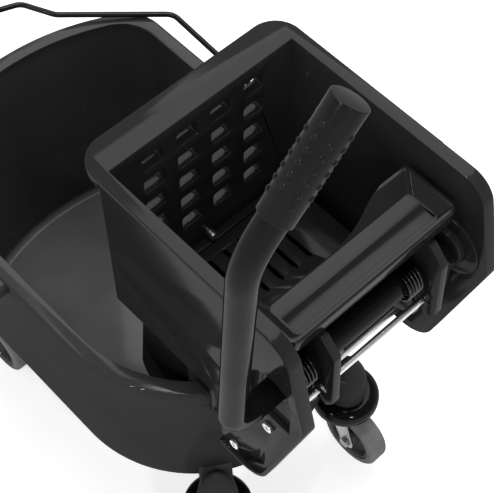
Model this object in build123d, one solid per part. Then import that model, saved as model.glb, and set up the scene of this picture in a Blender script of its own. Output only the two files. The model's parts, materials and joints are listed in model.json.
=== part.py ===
from build123d import *
import math
import os

# Mop bucket on four swivel casters, with a lever-worked press wringer on its round end.
# Millimetres. +Z is up and the floor is Z = 0. The wringer and its lever are at +X,
# and Y = 0 is the middle plane. Near means the -Y side, where the lever stands.

# Clearances
run_gap = 0.05        # radial, of a pin or shaft that turns in a hole
bond_gap = 0.05       # radial, of pieces that are bonded, pressed or screwed together
seat_gap = 0.3        # between faces that rest on each other and come apart
cut_over = 1.0        # how far a cut runs past the face that it opens

# Casters, from the floor up
wheel_d = 76.0
wheel_w = 24.0
tyre_t = 9.0
tyre_edge_r = 5.0
hub_r = 10.0
web_t = 8.0
core_ring_t = 4.0     # radial thickness of the wheel core's outer ring
core_inset = 1.0      # tyre side to core side
trail = 22.0          # swivel axis to wheel axis
axle_d = 8.0
axle_head_r = 6.5
axle_head_t = 4.0
fork_t = 2.5
fork_side_gap = 1.5   # wheel side to fork leg
fork_room = 9.0       # tyre to the underside of the fork's plate
fork_plate_t = 3.0
fork_plate_r = 20.0
fork_crown = 15.0     # half width of the leg at the plate
fork_eye_r = 10.0     # round end of the leg, about the axle
stem_d = 11.0
stem_head_r = 9.0
stem_head_t = 3.7
stem_collar_r = 16.0
stem_collar_t = 3.7
stem_reach = 37.0     # length of stem inside the boss
bumper_d = 74.0
bumper_t = 21.0
bumper_edge_r = 8.0
boss_foot = 17.0      # bumper to the bucket's underside
boss_base_r = 22.0
boss_mid_r = 19.6
boss_mid_h = 35.0
boss_crown_r = 12.0   # halfway up the boss's domed top
boss_h = 76.0
boss_web_w = 34.0     # block between a rear boss and the wall
boss_web_h = 30.0
boss_web_len = 34.0
rear_turn = 37.0      # degrees from the middle plane to a rear caster, about the round end's centre
rear_out = 10.4       # wall to swivel axis
front_turn = 22.3     # degrees from the middle plane to a front caster, about the corner's centre
front_out = 7.6

# Bucket shell
bucket_h = 230.0      # underside to rim
wall_t = 4.0
floor_t = 5.0
half_top = 149.0      # middle plane to the outside of the wall, at the rim
half_bottom = 146.0   # the same at the underside
end_x = 55.0          # centre of the half-round end, at the rim
end_lean = 14.0       # how far the half-round end draws in towards the underside
spout_top_x = -249.0  # outside of the bowed end at the rim, on the middle plane
spout_bottom_x = -205.0
bow_r = 264.0         # plan radius of the bowed end
corner_r = 45.0       # plan radius between the bowed end and the sides
foot_r = 14.0         # rounding of the bottom edge, outside
rim_out = 8.0         # how far the rim stands out from the wall
rim_in = 3.5          # how far its top reaches in from the wall
rim_drop = 20.0       # depth of the rim's skirt
rim_t = 3.5           # thickness of the rim's skirt and top
rim_edge_r = 3.0
plateau_front_x = -150.0
plateau_back_x = 110.0
plateau_half = 85.0
plateau_rise = 12.0
plateau_ramp = 50.0

# Carrying bail
bail_d = 6.0
bail_x = -50.0            # pivot
bail_out = 18.0           # rim to the middle of the leg
bail_leg = 128.0          # pivot to the bend at the corner
bail_diagonal = 79.0      # run of the slanting stretch away from the pivot
bail_diagonal_in = 95.0   # its run towards the middle plane
bail_jog = 34.5           # from the slanting stretch to the side of the hand hold
bail_jog_half = 61.0
bail_hold = 9.0           # from there to the hand hold
bail_hold_half = 36.0
bail_end_r = 7.0          # bend beside the ear
bail_bend_r = 16.0
ear_len = 32.0
ear_h = 16.0
ear_t = 10.0
ear_corner_r = 6.0
rivet_d = 4.0
rivet_head_r = 3.6
rivet_head_t = 1.8
rivet_pitch = 20.0

# Wringer housing. In the wringer's frame x runs from the rim's outer end and z from the rim's top.
inner_half = 97.5         # middle plane to the inner face of an end panel
panel_t = 8.0
lip_out = 4.5             # how far the turned lip stands out from the panel
lip_t = 4.0
lip_edge_r = 1.5
hopper_t = 4.0
wringer_top = 232.0
flange_x = -170.0         # edge of the flange over the perforated wall
flange_corner_r = 26.0
flange_drop = 10.0
flange_end_x = 17.0
screen_x = -150.0         # outer face of the perforated wall
screen_t = 11.0
slot_rows = 5
slot_columns = 4
slot_w = 22.0
slot_h = 18.0
slot_corner_r = 3.0
slot_pitch_y = 36.5
slot_pitch_z = 30.0
slot_top_drop = 25.0      # wringer's top to the middle of the first row
hopper_low = 31.0         # rim to the hopper's lower edge
hopper_floor = 37.0       # rim to the top of the hopper's floor
hopper_floor_t = 6.0
hopper_end_x = 28.0
ledge_w = 8.0             # raised strip along the foot of the perforated wall
ledge_h = 3.0
drain_count = 7
drain_pitch = 17.8
drain_w = 4.0
drain_start_x = -120.0
drain_len = 60.0
panel_left_x = -140.0
panel_low = 112.0         # lower edge of the panel along the hopper
panel_step_x = -44.0
panel_front_x = 69.0      # top front corner
elbow_x = 92.0
elbow_z = 134.0
foot_front_x = 45.0
foot_back_x = -8.0
foot_z = -34.0
knee_x = -19.0            # where the foot's back edge meets the panel's lower edge
knee_z = 65.0
top_front_r = 26.0
elbow_r = 16.0
foot_front_r = 34.0
foot_back_r = 14.0
knee_r = 30.0
step_r = 28.0
left_low_r = 18.0
arch_r = 22.0             # round-topped recess about the shaft
arch_drop = 40.0
arch_depth = 5.0
kidney_x = 29.0           # slanting recess near the foot
kidney_z = -13.0
kidney_len = 44.0
kidney_w = 13.0
kidney_turn = 52.0        # degrees from level
kidney_depth = 5.0
chute_half = 92.0         # drain chute under the hopper's floor
chute_top_x = -125.5
chute_low_x = -142.0
chute_end_x = -62.0
chute_drop = 120.0        # rim to the chute's underside
chute_bend_r = 40.0
chute_end_r = 12.0
chute_t = 4.0
chute_slot_w = 30.0
chute_slot_half = 78.0
saddle_t = 4.0
saddle_drop = 22.0        # how far the saddle's legs reach below the rim's top
saddle_gap = 0.4          # saddle leg to bucket
tie_x = 10.0
tie_z = -15.0
tie_d = 11.0
screw_d = 5.0
screw_head_r = 5.0
screw_head_t = 3.0
screw_socket = 1.5
screw_grip = 16.0         # length of a screw inside the tie rod
stop_d = 8.0
stop_z = 45.0
stop_reach = 8.0
stop_head_r = 6.0
stop_head_t = 3.0
stop_edge_r = 1.5

# Shaft and lever, in the wringer's frame
shaft_x = 50.0
shaft_z = 142.0
tube_d = 22.0
tube_t = 2.0
shaft_proud = 0.5         # tube past the far panel
lever_out = 40.5          # near panel to the middle of the lever
lever_h = 247.0           # shaft to the upper bend's corner
lever_lean = 0.058        # run of the lever along X for each unit of height
lever_low_r = 26.0        # bend between shaft and lever
lever_high_r = 70.0       # bend between lever and grip
grip_rise = 52.0          # degrees of the grip above level
grip_start = 38.0         # from the upper bend's corner
grip_len = 87.0
grip_t = 2.2
grip_end_t = 4.0
grip_edge_r = 3.0
nub_rows = 6              # in each column
nub_columns = 8
nub_pitch = 8.8
nub_start = 17.5          # free end to the first nub; every other column starts one pitch lower
nub_r = 2.7
nub_sink = 1.3
cap_r = 15.0
cap_t = 4.0
cap_plug = 14.0
bearing_t = 3.0           # wall of the bearing's sleeve
bearing_boss_r = 19.0
bearing_boss_len = 9.5
bearing_flange_r = 32.0
bearing_flange_t = 3.0
bearing_tab_w = 16.0
bearing_screw_drop = 60.0

# Cranks, rod and springs, from the shaft's axis
arm_t = 8.0
arm_points = [(-2, 46), (10, 46), (25, 30), (28, -38), (21, -49), (10, -47), (-17, -8), (-16, 14)]
arm_radii = [3, 3, 6, 6, 5, 5, 8, 8]
pin_d = 4.0
pin_past = 4.0            # pin past the tube
rod_d = 6.0
rod_dx = 14.5
rod_dz = -26.0
rod_end_gap = 2.0         # near end of the rod to the bearing's flange
rod_tail = 14.0           # far end of the rod past the arm
rod_edge_r = 0.8
clip_r = 6.0
clip_t = 1.2
spring_wire_d = 2.6
spring_r = 14.6           # shaft axis to the middle of the wire
spring_turns = 5
spring_pitch = 3.4
spring_start = 180.0      # degrees of the first curl, from +X towards +Z
spring_arm_gap = 3.2      # last curl to the crank arm
spring_end_gap = 1.0      # first curl to the bearing
spring_tail = 28.0
spring_leg_past = 6.0     # leg past the rod

# Press plate, in the wringer's frame
plate_x = 15.5            # pressing face
plate_t = 7.0
plate_gap = 9.5           # side of the plate to the end panel
tray_gap = 6.9            # side of the tray to the end panel
tray_lead = 16.5          # tray's far corner ahead of the pressing face
tray_x_len = 58.0
tray_drop = 27.0          # wringer's top to the tray's rim
tray_depth = 10.0
tray_floor_t = 4.0
tray_rim_t = 4.0
tray_rim_r = 1.8
tray_back_r = 9.0         # plan corners at the back
tray_front_r = 4.0        # plan corners towards the hopper
tray_inner_r = 5.0
tray_slope = 13.5         # run of the tray's slanting inner side
tray_draft = 4.0          # run of its back
tray_end_draft = 9.0      # run of its ends
tray_step_w = 10.0        # trough along the tray's back
tray_step = 2.0
tray_step_run = 5.0       # run of the trough's slanting side
tray_under_x = 6.0        # bevel under the edge towards the hopper
tray_under_z = 9.0
scoop_near_y = -84.0      # where that edge turns back, reaches the pressing face, leaves it and is full again
scoop_low_y = -76.0
scoop_high_y = -12.0
scoop_far_y = 84.0
gusset_t = 5.0
gusset_low = 8.0          # reach of a gusset behind the plate
gusset_high = 24.0        # the same under the tray
push_nose = (7.0, -49.0)  # from the shaft's axis, where the arm presses
push_shoulder = (-4.5, -34.0)
push_nose_low = -64.0
push_root = -86.0

# Values worked out from the sizes above
wheel_r = wheel_d / 2
core_r = wheel_r - tyre_t
fork_inner = wheel_w / 2 + fork_side_gap
fork_outer = fork_inner + fork_t
fork_top_z = wheel_d + fork_room + fork_plate_t
bumper_low_z = fork_top_z + seat_gap + stem_collar_t
bumper_top_z = bumper_low_z + bumper_t
bottom_z = bumper_top_z + boss_foot
rim_z = bottom_z + bucket_h
rim_half = half_top + rim_out
bail_z = rim_z - rim_drop / 2
bail_half = rim_half + bail_out
panel_half = inner_half + panel_t
lip_half = panel_half + lip_out
hopper_half = inner_half + hopper_t
screen_inner_x = screen_x + screen_t
tube_r = tube_d / 2
bearing_bore_r = tube_r + run_gap
bearing_sleeve_r = bearing_bore_r + bearing_t
bearing_inner_y = inner_half - bearing_boss_len
bearing_flange_y = inner_half - bearing_flange_t
rod_x = shaft_x + rod_dx
rod_z = shaft_z + rod_dz
lever_y = -panel_half - lever_out
spring_touch = spring_r + (spring_wire_d + rod_d) / 2 + seat_gap
spring_rest = math.degrees(math.atan2(rod_dz, rod_dx) - math.acos(spring_touch / math.hypot(rod_dx, rod_dz)))
spring_sweep = 360 * spring_turns + (spring_rest - spring_start) % 360
spring_len = spring_pitch * spring_sweep / 360 + spring_wire_d
arm_y = bearing_inner_y - spring_end_gap - spring_len - spring_arm_gap - arm_t / 2


def wall_half(z):
    # middle plane to the outside of the bucket's side wall at height z
    return half_bottom + (z - bottom_z) / bucket_h * (half_top - half_bottom)


def corner_centre(half, tip_x):
    side_y = half - corner_r
    side_x = tip_x + bow_r - math.sqrt((bow_r - corner_r) ** 2 - side_y ** 2)
    return side_x, side_y


def plan_face(half, tip_x, z):
    # D-shaped plan: half-round at +X, straight sides, a bowed end at tip_x with rounded corners
    round_x = end_x - end_lean * (rim_z - z) / bucket_h
    bow_x = tip_x + bow_r
    side_x, side_y = corner_centre(half, tip_x)
    turn = math.atan2(side_y, side_x - bow_x)
    bow_end_x = bow_x + bow_r * math.cos(turn)
    bow_end_y = bow_r * math.sin(turn)
    middle = (turn + math.pi / 2) / 2
    mid_x = side_x + corner_r * math.cos(middle)
    mid_y = side_y + corner_r * math.sin(middle)
    edges = [
        ThreePointArc((round_x, -half), (round_x + half, 0), (round_x, half)),
        Line((round_x, half), (side_x, half)),
        ThreePointArc((side_x, half), (mid_x, mid_y), (bow_end_x, bow_end_y)),
        ThreePointArc((bow_end_x, bow_end_y), (tip_x, 0), (bow_end_x, -bow_end_y)),
        ThreePointArc((bow_end_x, -bow_end_y), (mid_x, -mid_y), (side_x, -half)),
        Line((side_x, -half), (round_x, -half)),
    ]
    return Pos(0, 0, z) * make_face(edges)


def bucket_face(z, inset):
    # plan of the wall's outside at height z, moved in by inset
    tip = spout_bottom_x + (z - bottom_z) / bucket_h * (spout_top_x - spout_bottom_x)
    return plan_face(wall_half(z) - inset, tip + inset, z)


def caster_places():
    rear_r = half_bottom + rear_out
    rear_x = end_x + rear_r * math.cos(math.radians(rear_turn))
    rear_y = rear_r * math.sin(math.radians(rear_turn))
    corner_x, corner_y = corner_centre(half_bottom, spout_bottom_x)
    front_r = corner_r + front_out
    front_x = corner_x - front_r * math.cos(math.radians(front_turn))
    front_y = corner_y + front_r * math.sin(math.radians(front_turn))
    return {
        "rear_near": (rear_x, -rear_y),
        "rear_far": (rear_x, rear_y),
        "front_near": (front_x, -front_y),
        "front_far": (front_x, front_y),
    }


def post(radius, low_z, high_z):
    return Pos(0, 0, (low_z + high_z) / 2) * Cylinder(radius, high_z - low_z)


def ring(outer_r, inner_r, low_z, high_z):
    return Pos(0, 0, low_z) * extrude(Circle(outer_r) - Circle(inner_r), high_z - low_z)


def bar_y(radius, x, z, y0, y1):
    # cylinder along Y
    return extrude(Plane.XZ.offset(-max(y0, y1)) * Pos(x, z) * Circle(radius), abs(y1 - y0))


def bar_x(radius, y, z, x0, x1):
    # cylinder along X
    return extrude(Plane.YZ.offset(x0) * Pos(y, z) * Circle(radius), x1 - x0)


def slab(face, low, high):
    # face drawn in X and Z, made solid on the near side between two distances from the middle plane
    return extrude(Plane.XZ.offset(low) * face, high - low)


def rib(face, y, thickness):
    # face drawn in X and Z, made solid on both sides of the plane at y
    return extrude(Plane.XZ.offset(-y) * face, thickness / 2, both=True)


def far_twin(solid):
    return mirror(solid, about=Plane.XZ)


def make_bucket():
    body = loft([bucket_face(bottom_z, 0), bucket_face(rim_z, 0)], ruled=True)
    body = fillet(body.edges().group_by(Axis.Z)[0], foot_r)
    inside_z = bottom_z + floor_t
    cavity = loft([bucket_face(inside_z, wall_t), bucket_face(rim_z + cut_over, wall_t)], ruled=True)
    cavity = fillet(cavity.edges().group_by(Axis.Z)[0], foot_r - wall_t)
    for place, (x, y) in caster_places().items():
        body += Pos(x, y, bumper_top_z) * make_boss()
        if place.startswith("rear"):
            body += Pos(x, y, bumper_top_z) * Rot(0, 0, math.copysign(rear_turn, y)) * make_boss_web()
    body += make_rim()
    body -= cavity
    bead = bucket_face(rim_z, wall_t / 2) - bucket_face(rim_z, wall_t + rim_in)
    body += Pos(0, 0, -rim_t) * extrude(bead, rim_t)
    body += make_plateau(inside_z)
    socket = post(stem_d / 2 + bond_gap, bumper_top_z, bumper_top_z + stem_reach + seat_gap)
    for x, y in caster_places().values():
        body -= Pos(x, y, 0) * socket
    skirt_y = rim_half - rim_t - cut_over
    for side in (-1, 1):
        for x in rivet_places():
            body -= bar_y(rivet_d / 2 + bond_gap, x, bail_z, side * skirt_y, side * rim_half)
    return body


def make_boss():
    # post at the origin, straight up to the bucket's underside, then tapering to a domed top
    crown = ThreePointArc((boss_mid_r, boss_mid_h), (boss_crown_r, (boss_mid_h + boss_h) / 2), (0, boss_h))
    sides = Polyline((0, boss_h), (0, 0), (boss_base_r, 0), (boss_base_r, boss_foot), (boss_mid_r, boss_mid_h))
    return revolve(Plane.XZ * make_face([crown, sides]), Axis.Z)


def make_boss_web():
    # joins the post at the origin to the wall on its -X side
    web = Pos(-boss_web_len / 2, 0) * Rectangle(boss_web_len, boss_web_w)
    return Pos(0, 0, boss_foot) * extrude(web, boss_web_h)


def make_rim():
    # rolled rim: a flat top and a skirt, hollow underneath
    band = extrude(Pos(0, 0, -rim_drop) * bucket_face(rim_z, -rim_out), rim_drop)
    band = fillet(band.edges().group_by(Axis.Z)[-1], rim_edge_r)
    return band - extrude(Pos(0, 0, -rim_drop) * bucket_face(rim_z, rim_t - rim_out), rim_drop - rim_t)


def make_plateau(inside_z):
    profile = Polyline(
        (plateau_front_x, inside_z - floor_t / 2),
        (plateau_front_x, inside_z),
        (plateau_front_x + plateau_ramp, inside_z + plateau_rise),
        (plateau_back_x, inside_z + plateau_rise),
        (plateau_back_x, inside_z - floor_t / 2),
        close=True,
    )
    return extrude(Plane.XZ * make_face(profile), plateau_half, both=True)


def rivet_places():
    return [bail_x - rivet_pitch / 2, bail_x + rivet_pitch / 2]


def make_ear(side):
    outer_y = rim_half + ear_t
    ear = Pos(bail_x, side * (rim_half + ear_t / 2), bail_z) * Box(ear_len, ear_t, ear_h)
    ear = fillet(ear.edges().filter_by(Axis.Y), ear_corner_r)
    ear -= bar_y(bail_d / 2 + run_gap, bail_x, bail_z, side * rim_half, side * outer_y)
    for x in rivet_places():
        ear -= bar_y(rivet_d / 2 + bond_gap, x, bail_z, side * rim_half, side * outer_y)
    return ear


def make_rivets():
    rivets = []
    outer_y = rim_half + ear_t
    inner_y = rim_half - rim_t
    for side in (-1, 1):
        for x in rivet_places():
            rivet = bar_y(rivet_d / 2, x, bail_z, side * inner_y, side * outer_y)
            rivet += bar_y(rivet_head_r, x, bail_z, side * outer_y, side * (outer_y + rivet_head_t))
            rivet += bar_y(rivet_head_r, x, bail_z, side * (inner_y - rivet_head_t), side * inner_y)
            rivets.append(rivet)
    return Compound(children=rivets)


def make_bail():
    # the wire lies in a plane that rises from the pivots, so that it rests on the rim's corners
    touch = bail_leg + bail_out - bail_d
    slope = math.asin((rim_z + seat_gap + bail_d / 2 - bail_z) / touch)
    reach_mid = bail_leg + bail_diagonal
    reach_jog = reach_mid + bail_jog
    half_path = [
        (0, rim_half + ear_t / 5),
        (0, bail_half),
        (bail_leg, bail_half),
        (reach_mid, bail_half - bail_diagonal_in),
        (reach_jog, bail_jog_half),
        (reach_jog + bail_hold, bail_hold_half),
    ]
    path_points = half_path + [(reach, -y) for reach, y in reversed(half_path)]
    points = [(bail_x - r * math.cos(slope), y, bail_z + r * math.sin(slope)) for r, y in path_points]
    radii = [bail_end_r, bail_bend_r, bail_bend_r, bail_bend_r, bail_bend_r]
    path = FilletPolyline(*points, radius=radii + radii[::-1])
    return sweep(Plane(path @ 0, z_dir=path % 0) * Circle(bail_d / 2), path)


def make_bumper():
    disc = ring(bumper_d / 2, stem_d / 2 + bond_gap, bumper_low_z, bumper_top_z)
    rims = disc.edges().filter_by(GeomType.CIRCLE).sort_by(SortBy.RADIUS)[-2:]
    return fillet(rims, bumper_edge_r)


def make_stem():
    head_top = fork_top_z - fork_plate_t - seat_gap
    stem = post(stem_d / 2, head_top, bumper_top_z + stem_reach)
    stem += post(stem_head_r, head_top - stem_head_t, head_top)
    return stem + post(stem_collar_r, bumper_low_z - stem_collar_t, bumper_low_z)


def make_fork():
    plate = post(fork_plate_r, fork_top_z - fork_plate_t, fork_top_z)
    leg = Polyline(
        (-fork_crown, fork_top_z),
        (fork_crown, fork_top_z),
        (trail + fork_eye_r, wheel_r),
        (trail - fork_eye_r, wheel_r),
        close=True,
    )
    leg_face = make_face(leg) + Pos(trail, wheel_r) * Circle(fork_eye_r)
    near_leg = slab(leg_face, fork_inner, fork_outer)
    fork = plate + near_leg + far_twin(near_leg)
    fork -= post(stem_d / 2 + run_gap, fork_top_z - 2 * fork_plate_t, fork_top_z)
    return fork - bar_y(axle_d / 2 + run_gap, trail, wheel_r, -fork_outer, fork_outer)


def make_axle():
    bolt = bar_y(axle_d / 2, trail, wheel_r, -fork_outer, fork_outer)
    head = slab(Pos(trail, wheel_r) * RegularPolygon(axle_head_r, 6), fork_outer, fork_outer + axle_head_t)
    return bolt + head + far_twin(head)


def make_wheel_core():
    hub_half = fork_inner - seat_gap
    half = wheel_w / 2 - core_inset
    inner_r = core_r - core_ring_t
    core = bar_y(core_r, trail, wheel_r, -half, half) - bar_y(inner_r, trail, wheel_r, -half, half)
    core += bar_y(inner_r + core_ring_t / 2, trail, wheel_r, -web_t / 2, web_t / 2)
    core += bar_y(hub_r, trail, wheel_r, -hub_half, hub_half)
    return core - bar_y(axle_d / 2 + run_gap, trail, wheel_r, -hub_half, hub_half)


def make_tyre():
    half = wheel_w / 2
    tyre = bar_y(wheel_r, trail, wheel_r, -half, half)
    tyre = fillet(tyre.edges().filter_by(GeomType.CIRCLE), tyre_edge_r)
    return tyre - bar_y(core_r + bond_gap, trail, wheel_r, -half, half)


def panel_face():
    points = [
        (panel_left_x, wringer_top),
        (panel_front_x, wringer_top),
        (elbow_x, elbow_z),
        (foot_front_x, foot_z),
        (foot_back_x, foot_z),
        (knee_x, knee_z),
        (panel_step_x, panel_low),
        (panel_left_x, panel_low),
    ]
    radii = [0, top_front_r, elbow_r, foot_front_r, foot_back_r, knee_r, step_r, left_low_r]
    return make_face(FilletPolyline(*points, radius=radii, close=True))


def make_lip(face):
    # raised edge along the panel's top, front and foot, and none along the hopper
    hopper_side = Polyline(
        (panel_left_x + 2 * lip_t, wringer_top - lip_t),
        (panel_left_x + 2 * lip_t, panel_low + 3 * lip_t),
        (panel_step_x + 2 * lip_t, panel_low + 3 * lip_t),
        (knee_x + 4 * lip_t, knee_z),
        (foot_back_x + lip_t, foot_z + 2 * lip_t),
        (foot_back_x - 4 * lip_t, foot_z - lip_t),
        (knee_x - 2 * lip_t, knee_z - lip_t),
        (panel_left_x - lip_t, panel_low - lip_t),
        (panel_left_x - lip_t, wringer_top - lip_t),
        close=True,
    )
    low = panel_half - lip_t
    lip = slab(face, low, lip_half)
    lip = fillet(lip.edges().group_by(Axis.Y)[0], lip_edge_r)
    return lip - slab(offset(face, -lip_t), low, lip_half) - slab(make_face(hopper_side), low, lip_half)


def make_end_panel():
    face = panel_face()
    panel = slab(face, inner_half, panel_half) + make_lip(face)
    hopper = Polyline(
        (screen_x, hopper_low),
        (hopper_end_x, hopper_low),
        (hopper_end_x, wringer_top - lip_t),
        (screen_x, wringer_top - lip_t),
        close=True,
    )
    panel += slab(make_face(hopper), inner_half, hopper_half)
    arch = Pos(shaft_x, shaft_z) * Circle(arch_r)
    arch += Pos(shaft_x, shaft_z - arch_drop / 2) * Rectangle(2 * arch_r, arch_drop)
    panel -= slab(arch, panel_half - arch_depth, panel_half)
    kidney = Pos(kidney_x, kidney_z) * Rot(0, 0, kidney_turn) * SlotOverall(kidney_len, kidney_w)
    panel -= slab(kidney, panel_half - kidney_depth, panel_half)
    panel -= bar_y(bearing_sleeve_r + bond_gap, shaft_x, shaft_z, -panel_half, -inner_half)
    for x, z in screw_places():
        panel -= bar_y(screw_d / 2 + bond_gap, x, z, -panel_half, -inner_half)
    return panel


def make_housing():
    panel = make_end_panel()
    body = panel + far_twin(panel)
    screen = Pos(screen_x + screen_t / 2, 0, (hopper_low + wringer_top) / 2)
    body += screen * Box(screen_t, 2 * hopper_half, wringer_top - hopper_low)
    body += make_flange()
    floor = Pos((screen_x + hopper_end_x) / 2, 0, hopper_floor - hopper_floor_t / 2)
    body += floor * Box(hopper_end_x - screen_x, 2 * inner_half + hopper_t, hopper_floor_t)
    ledge = Box(ledge_w + hopper_t, 2 * inner_half + hopper_t, ledge_h + hopper_floor_t)
    ledge_z = hopper_floor + (ledge_h - hopper_floor_t) / 2
    body += Pos(screen_inner_x + (ledge_w - hopper_t) / 2, 0, ledge_z) * ledge
    body += make_saddle()
    body -= screen_slots()
    body -= drain_slots()
    return body - bar_x(stop_d / 2 + bond_gap, 0, stop_z, screen_x, screen_inner_x)


def make_flange():
    # flat flange round the hopper's mouth, with a turned-down edge and rounded corners
    width = flange_end_x - flange_x
    outline = Pos(flange_x + width / 2, 0) * Rectangle(width, 2 * lip_half)
    outline = fillet(outline.vertices().group_by(Axis.X)[0], flange_corner_r)
    mouth_len = flange_end_x - screen_inner_x
    mouth = Pos(screen_inner_x + mouth_len / 2, 0) * Rectangle(mouth_len, 2 * inner_half)
    flange = extrude(outline - mouth, lip_t)
    edge = outline - offset(outline, -lip_t)
    edge_len = flange_end_x - panel_left_x
    edge -= Pos(panel_left_x + edge_len / 2, 0) * Rectangle(edge_len, 2 * lip_half)
    flange = Pos(0, 0, wringer_top - lip_t) * flange
    return flange + Pos(0, 0, wringer_top - flange_drop) * extrude(edge, flange_drop)


def make_chute():
    # trough under the hopper's floor, open at the top, with a slot along its bottom
    top = hopper_floor - hopper_floor_t
    points = [(chute_top_x, top), (chute_low_x, -chute_drop), (chute_end_x, -chute_drop), (chute_end_x, top)]
    face = make_face(FilletPolyline(*points, radius=[0, chute_bend_r, chute_end_r, 0], close=True))
    mouth_len = chute_end_x - chute_top_x - 2 * chute_t
    inner = offset(face, -chute_t)
    inner += Pos((chute_top_x + chute_end_x) / 2, top) * Rectangle(mouth_len, 4 * chute_t)
    chute = extrude(Plane.XZ * face, chute_half, both=True)
    chute -= extrude(Plane.XZ * inner, chute_half - chute_t, both=True)
    slot_x = chute_end_x - chute_end_r - chute_slot_w / 2
    return chute - Pos(slot_x, 0, -chute_drop) * Box(chute_slot_w, 2 * chute_slot_half, 4 * chute_t)


def make_saddle():
    # curved channel under the hopper's floor that sits over the half-round end of the rim
    leg_in = wall_half(rim_z - saddle_drop) - wall_t - rim_in - saddle_gap
    leg_out = rim_half + saddle_gap
    top = hopper_floor - hopper_floor_t
    inner_leg = ring(leg_in, leg_in - saddle_t, -saddle_drop, top)
    outer_leg = ring(leg_out + saddle_t, leg_out, -saddle_drop, top)
    web = ring(leg_out + saddle_t, leg_in - saddle_t, seat_gap, seat_gap + saddle_t)
    channel = Pos(-rim_half, 0, 0) * (inner_leg + outer_leg + web)
    width = 2 * inner_half
    cut = Pos(hopper_end_x - inner_half / 2, 0, 0) * Box(inner_half, width, 4 * top)
    return channel & cut


def screen_slots():
    slot = extrude(Plane.YZ * RectangleRounded(slot_w, slot_h, slot_corner_r), screen_t, both=True)
    slots = Part()
    for row in range(slot_rows):
        z = wringer_top - slot_top_drop - row * slot_pitch_z
        for column in range(slot_columns):
            y = (column - (slot_columns - 1) / 2) * slot_pitch_y
            slots += Pos(screen_x + screen_t / 2, y, z) * slot
    return slots


def drain_slots():
    slot = extrude(SlotOverall(drain_len, drain_w), hopper_floor_t, both=True)
    slots = Part()
    for step in range(drain_count):
        y = (step - (drain_count - 1) / 2) * drain_pitch
        slots += Pos(drain_start_x + drain_len / 2, y, hopper_floor - hopper_floor_t / 2) * slot
    return slots


def screw_places():
    return [(shaft_x, shaft_z - bearing_screw_drop), (tie_x, tie_z)]


def make_stop_pin():
    pin = bar_x(stop_d / 2, 0, stop_z, screen_x, screen_inner_x + stop_reach)
    pin = fillet(pin.edges().group_by(Axis.X)[-1], stop_edge_r)
    return pin + bar_x(stop_head_r, 0, stop_z, screen_x - stop_head_t, screen_x)


def make_bearing():
    # near side; the far one is its mirror image
    outer_y = panel_half - arch_depth
    bearing = bar_y(bearing_sleeve_r, shaft_x, shaft_z, -outer_y, -bearing_inner_y)
    bearing += bar_y(bearing_boss_r, shaft_x, shaft_z, -inner_half, -bearing_inner_y)
    bearing += bar_y(bearing_flange_r, shaft_x, shaft_z, -inner_half, -bearing_flange_y)
    screw_z = shaft_z - bearing_screw_drop
    tab = Pos(shaft_x, (shaft_z + screw_z) / 2) * Rectangle(bearing_tab_w, bearing_screw_drop)
    tab += Pos(shaft_x, screw_z) * Circle(bearing_tab_w / 2)
    bearing += slab(tab, bearing_flange_y, inner_half)
    bearing -= bar_y(bearing_bore_r, shaft_x, shaft_z, -outer_y, -bearing_inner_y)
    return bearing - bar_y(screw_d / 2 + bond_gap, shaft_x, screw_z, -inner_half, -bearing_flange_y)


def make_screws():
    screws = []
    ends = [bearing_flange_y, inner_half - screw_grip]
    for (x, z), end_y in zip(screw_places(), ends):
        screw = bar_y(screw_d / 2, x, z, -panel_half, -end_y)
        screw += bar_y(screw_head_r, x, z, -panel_half - screw_head_t, -panel_half)
        top = panel_half + screw_head_t
        screw -= slab(Pos(x, z) * RegularPolygon(screw_d / 2, 6), top - screw_socket, top)
        screws += [screw, far_twin(screw)]
    return Compound(children=screws)


def make_tie_rod():
    rod = bar_y(tie_d / 2, tie_x, tie_z, -inner_half, inner_half)
    depth = screw_grip + seat_gap
    for side in (-1, 1):
        rod -= bar_y(screw_d / 2 + bond_gap, tie_x, tie_z, side * (inner_half - depth), side * inner_half)
    return rod


def grip_way():
    rise = math.radians(grip_rise)
    return Vector(lever_lean * math.sin(rise), math.cos(rise), math.sin(rise)).normalized()


def lever_corner():
    return Vector(shaft_x + lever_lean * lever_h, lever_y, shaft_z + lever_h)


def make_lever():
    top = lever_corner() + grip_way() * (grip_start + grip_len - grip_end_t)
    points = [(shaft_x, panel_half + shaft_proud, shaft_z), (shaft_x, lever_y, shaft_z), lever_corner(), top]
    path = FilletPolyline(*points, radius=[lever_low_r, lever_high_r])
    section = Circle(tube_r) - Circle(tube_r - tube_t)
    tube = sweep(Plane(path @ 0, z_dir=path % 0) * section, path)
    return tube - make_pin(-1, bond_gap) - make_pin(1, bond_gap)


def make_grip():
    grip_r = tube_r + bond_gap + grip_t
    sleeve = extrude(Circle(grip_r), grip_len)
    sleeve = fillet(sleeve.edges().group_by(Axis.Z)[-1], grip_edge_r)
    nubs = []
    for column in range(nub_columns):
        turn = column * 360 / nub_columns
        for row in range(nub_rows):
            height = grip_len - nub_start - (row + column % 2) * nub_pitch
            nubs.append(Rot(0, 0, turn) * Pos(grip_r - nub_sink, 0, height) * Sphere(nub_r))
    grip = sleeve + nubs - extrude(Circle(tube_r + bond_gap), grip_len - grip_end_t)
    return Plane(lever_corner() + grip_way() * grip_start, z_dir=grip_way()) * grip


def make_cap():
    end_y = panel_half + shaft_proud
    plug_r = tube_r - tube_t - bond_gap
    cap = bar_y(cap_r, shaft_x, shaft_z, end_y, end_y + cap_t)
    return cap + bar_y(plug_r, shaft_x, shaft_z, end_y - cap_plug, end_y)


def make_pin(side, grow):
    reach = tube_r + pin_past + grow
    return bar_x(pin_d / 2 + grow, side * arm_y, shaft_z, shaft_x - reach, shaft_x + reach)


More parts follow.
